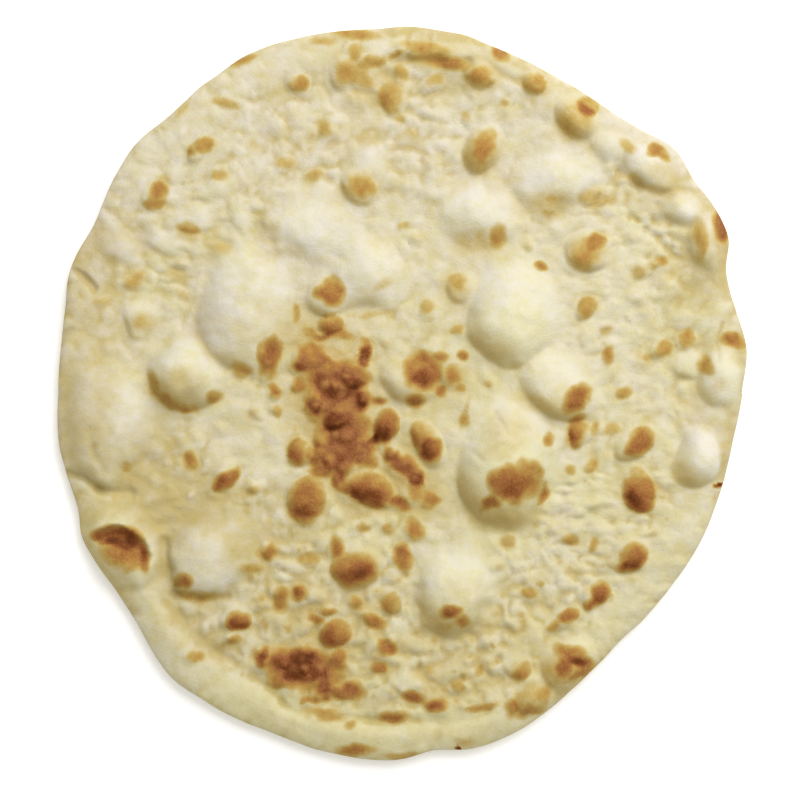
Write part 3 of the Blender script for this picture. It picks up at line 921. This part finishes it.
class Wire:
    """An output socket of a material, with arithmetic."""

    def __init__(self, socket):
        self.socket = socket

    def feeds(self, node, name):
        """Links this output to a socket of a node."""
        self.socket.id_data.links.new(self.socket, node.inputs[name])

    def node(self, kind, settings, sockets, out=0):
        """A new node: its settings first, then values or wires into its sockets; gives an output."""
        made = self.socket.id_data.nodes.new(kind)
        for name, value in settings.items():
            if name == "stops":
                while len(made.color_ramp.elements) < len(value):
                    made.color_ramp.elements.new(1)
                for element, (stop, shade) in zip(made.color_ramp.elements, value):
                    element.position, element.color = stop, shade
            else:
                setattr(made, name, value)
        for name, value in sockets.items():
            if isinstance(value, Wire):
                value.feeds(made, name)
            else:
                made.inputs[name].default_value = value
        return Wire(made.outputs[out])

    def math(self, operation, first, second):
        """A Math node on two values or wires."""
        return self.node("ShaderNodeMath", {"operation": operation}, {0: first, 1: second})

    def __add__(self, other):
        return self.math("ADD", self, other)

    def __sub__(self, other):
        return self.math("SUBTRACT", self, other)

    def __rsub__(self, other):
        return self.math("SUBTRACT", other, self)

    def __mul__(self, other):
        return self.math("MULTIPLY", self, other)

    __radd__, __rmul__ = __add__, __mul__

    def between(self, low, high):
        """0 below low, 1 above high, smooth between."""
        sockets = {"Value": self, "From Min": low, "From Max": high}
        return self.node("ShaderNodeMapRange", {"interpolation_type": "SMOOTHSTEP"}, sockets)

    def mixed(self, first, second):
        """The first colour where this is 0, the second where it is 1."""
        sockets = {"Factor": self, MIX_FIRST: first, MIX_SECOND: second}
        return self.node("ShaderNodeMix", {"data_type": "RGBA"}, sockets, out=MIX_RESULT)

    def tinted(self, tint):
        """This colour times another one."""
        settings = {"data_type": "RGBA", "blend_type": "MULTIPLY"}
        sockets = {"Factor": 1.0, MIX_FIRST: self, MIX_SECOND: tint}
        return self.node("ShaderNodeMix", settings, sockets, out=MIX_RESULT)


print("a wire knows + - and *")

# %% [markdown]
# ## What the crust reads
#
# The stored numbers give the large pattern of the crust. Below the size of a mesh cell, noise on Object
# coordinates has to take over, in four sizes from clouds to flecks. An image would need a UV map and
# would blur close up, and noise stays sharp.

# %% Inputs of the crust
crust = bpy.data.materials.new("baked_crust")
crust.use_nodes = True
shader = crust.node_tree.nodes["Principled BSDF"]
NOISE_MIDDLE = 0.5
position = Wire(shader.outputs["BSDF"]).node("ShaderNodeTexCoord", {}, {}, out="Object")


def attribute(name):
    """The number that the mesh stores under this name."""
    return position.node("ShaderNodeAttribute", {"attribute_name": name}, {}, out="Fac")


def noise(feature_mm, detail=3.0, roughness=0.55):
    """Smooth chance from about -0.5 to 0.5 with features of this size: a Noise Texture less its middle."""
    scale = 1 / (feature_mm * MM)
    sockets = {"Vector": position, "Scale": scale, "Detail": detail, "Roughness": roughness}
    return position.node("ShaderNodeTexNoise", {}, sockets) - NOISE_MIDDLE


toast_wire, taut_wire, hollow_wire, warmth_wire, scorch_wire = [attribute(name) for name in crust_numbers]
NOISES = {
    "broad": noise(16.0), "blotch": noise(7.0),
    "grain": noise(2.4, detail=4.0, roughness=0.6), "fleck": noise(0.8, roughness=0.6),
}


def unevenness(**shares):
    """The sum of a share of each noise that is named."""
    return sum(share * NOISES[name] for name, share in shares.items())


print("noises of the crust:", list(NOISES))

# %% [markdown]
# ## Pale dough
#
# Dough that didn't brown is cream, whiter where the skin is taut, yellower in hollows and palest under
# flour. Each change is a mix of two colours by one number. Milk and butter then tint it to and fro.
# The colours are given as they look under the studio light, and a helper turns them into the linear
# ones that shaders need.

# %% Pale dough
LIGHT_LEVEL = 1.25


def colour(red, green, blue, light=LIGHT_LEVEL):
    """The linear colour by the sRGB curve, for a colour from 0 to 255 as seen under this much light."""
    display = np.array([red, green, blue]) / 255
    linear = np.where(display <= 0.04045, display / 12.92, ((display + 0.055) / 1.055) ** 2.4)
    return (*(linear / light).tolist(), 1.0)


CREAM, WHITE_SKIN = colour(220, 211, 175), colour(229, 223, 197)
HOLLOW_CREAM, FLOURY_CREAM = colour(198, 180, 124), colour(241, 236, 209)
MILK, BUTTER = (1, 1, 1.17, 1), (1, 1, 0.86, 1)
TAUT_WHITENS, WHITE_RANGE, TAUT_CLEARS = 0.7, (0.0, 0.9), 0.45
HOLLOW_DEPTH, CLOUD_DEPTH = 0.95, 0.023
EVEN_BUTTER, WARM_BUTTER = 0.5, 0.5
whiteness = (taut_wire * TAUT_WHITENS + unevenness(broad=0.4)).between(*WHITE_RANGE)
cloud = unevenness(broad=0.8, blotch=1.15, grain=0.5, fleck=0.35) + CLOUD_DEPTH
depth = hollow_wire * HOLLOW_DEPTH + cloud * (1 - taut_wire * TAUT_CLEARS)
butter_share = EVEN_BUTTER + WARM_BUTTER * warmth_wire + unevenness(blotch=1.6, grain=1.3, fleck=0.9)
dough = whiteness.mixed(CREAM, WHITE_SKIN)
dough = depth.mixed(dough, HOLLOW_CREAM)
dough = (0 - depth).mixed(dough, FLOURY_CREAM)
dough = dough.tinted(butter_share.mixed(MILK, BUTTER))
print("cream, linear:", [round(part, 2) for part in CREAM[:3]])

# %% [markdown]
# ## Toasted crust
#
# Toasting goes from gold through tan and brown to nearly black, which is one ColorRamp. Noise breaks up
# the soft edges of the spots, and flecks the dark ones. Round the char the heat left an orange tinge, and
# the char itself is rosier than other dark spots.

# %% Toasted crust
TOAST_STOPS = [
    (0.0, colour(216, 202, 152)), (0.16, colour(204, 182, 120)), (0.3, colour(191, 160, 87)),
    (0.46, colour(175, 129, 64)), (0.62, colour(155, 98, 49)), (0.78, colour(124, 68, 23)),
    (1.0, colour(80, 36, 3)),
]
FULL_CHAR = 1.35
TINGED, DARKENED, COVERED = (0.05, 0.4), (0.45, 0.75), (0.0, 0.3)
EMBER_RANGE, CHAR_RANGE = (0.1, 0.3), (0.5, 0.75)
PLAIN, ORANGE, ROSY = (1, 1, 1, 1), (1, 0.84, 0.72, 1), (1, 0.97, 1.22, 1)
darkened = toast_wire.between(*DARKENED)
frayed_edge = unevenness(blotch=0.4, grain=0.35, fleck=0.15) * toast_wire.between(*TINGED)
browning = toast_wire + frayed_edge * (1 - darkened) + unevenness(grain=0.3, fleck=0.5) * darkened
ramp_place = browning * (1 / FULL_CHAR)
toasted = ramp_place.node("ShaderNodeValToRGB", {"stops": TOAST_STOPS}, {"Fac": ramp_place})
char = browning.between(*CHAR_RANGE)
ember = scorch_wire * browning.between(*EMBER_RANGE) * (1 - char)
base = browning.between(*COVERED).mixed(dough, toasted)
base = base.tinted(ember.mixed(PLAIN, ORANGE))
base = base.tinted((scorch_wire * char).mixed(PLAIN, ROSY))
base.feeds(shader, "Base Color")
print("stops from gold to char:", len(TOAST_STOPS))

# %% [markdown]
# ## Skin of the crust
#
# Baked dough is nearly matt, and browned parts shine a little more. Pores below the size of a mesh cell
# are a bump, because they only catch the light. All larger shapes are in the mesh.

# %% Skin of the crust
DOUGH_ROUGHNESS, TOAST_POLISH, POLISHED = 0.82, 0.2, (0.3, 1.0)
PORE_SHARE, FINE_PORE_SHARE = 0.6, 0.4
PORE_STRENGTH, PORE_DEPTH_MM = 0.75, 0.55
CRUST_SHINE = 0.15
roughness = DOUGH_ROUGHNESS - TOAST_POLISH * browning.between(*POLISHED) + unevenness(fleck=0.15)
roughness.feeds(shader, "Roughness")
pores = PORE_SHARE * noise(1.1, detail=4.0, roughness=0.65) + FINE_PORE_SHARE * noise(0.45)
pores = pores + scorch_wire * (NOISES["grain"] + NOISE_MIDDLE)
bump_sockets = {"Strength": PORE_STRENGTH, "Distance": PORE_DEPTH_MM * MM, "Height": pores}
position.node("ShaderNodeBump", {}, bump_sockets).feeds(shader, "Normal")
shader.inputs["Specular IOR Level"].default_value = CRUST_SHINE
mesh.materials.append(crust)
print("crust nodes:", len(crust.node_tree.nodes))

# %% [markdown]
# ## Into the frame
#
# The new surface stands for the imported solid, so the solid is hidden and the surface rides on the only
# body there is.

# %% Ride on the frame
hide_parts("flatbread")
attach(bread, "root")
print("in place of the solid:", bread.name)

# %% [markdown]
# ## The floor
#
# The bread lies on a plain white floor. A plane with a matt white finish is enough. It glows very
# faintly, so that it stays white beside the bread and the shadow on it stays soft.

# %% Floor
FLOOR_HALF, FLOOR_DROP_MM = 4.0, 0.3
FLOOR_ROUGHNESS, FLOOR_GLOW = 0.9, 0.2
floor_corners = [(FLOOR_HALF * u, FLOOR_HALF * v, 0) for u, v in ((-1, -1), (1, -1), (1, 1), (-1, 1))]
floor_mesh = bpy.data.meshes.new("floor")
floor_mesh.from_pydata(floor_corners, [], [(0, 1, 2, 3)])
floor = bpy.data.objects.new("floor", floor_mesh)
floor.location.z = -FLOOR_DROP_MM * MM
bpy.context.scene.collection.objects.link(floor)
floor_material = bpy.data.materials.new("white_floor")
floor_material.use_nodes = True
floor_inputs = floor_material.node_tree.nodes["Principled BSDF"].inputs
floor_inputs["Base Color"].default_value = colour(247, 247, 247, light=1)
floor_inputs["Roughness"].default_value = FLOOR_ROUGHNESS
floor_inputs["Emission Color"].default_value = (1, 1, 1, 1)
floor_inputs["Emission Strength"].default_value = FLOOR_GLOW
floor_mesh.materials.append(floor_material)
print("floor side in m:", 2 * FLOOR_HALF)

# %% [markdown]
# ## The light
#
# One large soft light stands beyond the top right of the picture, on the side that the blisters lean
# away from, so that each has a soft dark crescent. A pale, slightly warm world fills the shadows. A
# smaller light would draw hard edges, and a world alone would show no blisters at all.

# %% Light
KEY_SLOPE, KEY_DISTANCE, KEY_SIZE, KEY_POWER = 1.2, 1.05, 1.0, 12.5
FILL_COLOUR, FILL_STRENGTH = (1, 0.98, 0.93, 1), 0.62
scene = bpy.context.scene
scene.view_settings.view_transform = "Standard"
world = bpy.data.worlds.new("studio")
world.use_nodes = True
fill_inputs = world.node_tree.nodes["Background"].inputs
fill_inputs["Color"].default_value = FILL_COLOUR
fill_inputs["Strength"].default_value = FILL_STRENGTH
scene.world = world
key_light = bpy.data.lights.new("key", "AREA")
key_light.size = KEY_SIZE
key_light.energy = KEY_POWER
key = bpy.data.objects.new("key", key_light)
key_direction = np.array([*LIGHT_SIDE, KEY_SLOPE])
key.location = key_direction / np.linalg.norm(key_direction) * KEY_DISTANCE
key.rotation_mode = "QUATERNION"
key.rotation_quaternion = key.location.to_track_quat("Z", "Y")
scene.collection.objects.link(key)
print("light at", [round(c, 2) for c in key.location], "m")

# %% [markdown]
# ## The camera
#
# The camera looks straight down with a long lens, so that the high blisters don't lean outwards. An
# orthographic camera would do as well, but a real photo has some perspective. The lens follows from the
# width that the picture shows at the height of the bread's edge.

# %% Camera
IMAGE_WIDTH_MM = 305.6
IMAGE_MIDDLE_MM = (-0.8, -2.5)
CAMERA_HEIGHT = 1.2
camera_data = bpy.data.cameras.new("camera")
camera_data.lens = camera_data.sensor_width * (CAMERA_HEIGHT - EDGE_HEIGHT * MM) / (IMAGE_WIDTH_MM * MM)
camera = bpy.data.objects.new("camera", camera_data)
camera.location = (IMAGE_MIDDLE_MM[0] * MM, IMAGE_MIDDLE_MM[1] * MM, CAMERA_HEIGHT)
scene.collection.objects.link(camera)
scene.camera = camera
print("lens in mm:", round(camera_data.lens))
